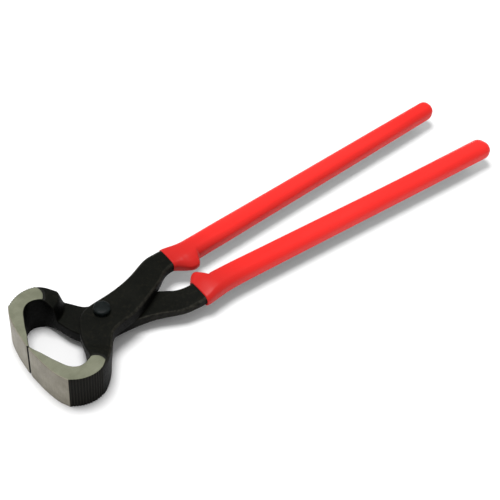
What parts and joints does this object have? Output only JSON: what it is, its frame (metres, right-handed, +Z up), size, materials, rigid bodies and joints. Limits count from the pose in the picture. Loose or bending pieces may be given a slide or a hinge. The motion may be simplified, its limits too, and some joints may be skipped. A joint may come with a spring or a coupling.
{
  "type": "fencing pliers",
  "caption": "Long-handled end-cutting pincers: curved jaws that meet edge to edge, riveted lap joint, dipped plastic grips with stop nubs.",
  "frame": {"origin": "under the middle of the tool's length, on the surface that the jaws rest on", "axes": "+X along the tool towards the handle ends, Y across the handles, +Z up along the pivot"},
  "size_m": [0.35, 0.0734, 0.026],
  "materials": {
    "lever_upper": "black forged, satin",
    "lever_lower": "black forged, satin",
    "rivet": "blue-black, satin",
    "grip_upper": "glossy dipped vinyl",
    "grip_lower": "glossy dipped vinyl"
  },
  "bodies": {
    "lower_lever": {"lever_lower": "lever_lower", "pivot_rivet": "rivet", "grip_lower": "grip_lower"},
    "upper_lever": {"lever_upper": "lever_upper", "grip_upper": "grip_upper"}
  },
  "joints": [
    {"name": "pivot", "type": "hinge", "parent": "lower_lever", "child": "upper_lever", "pos_m": [-0.126, 0, 0.013], "axis": [0, 0, 1], "range_deg": [0, 35]}
  ]
}
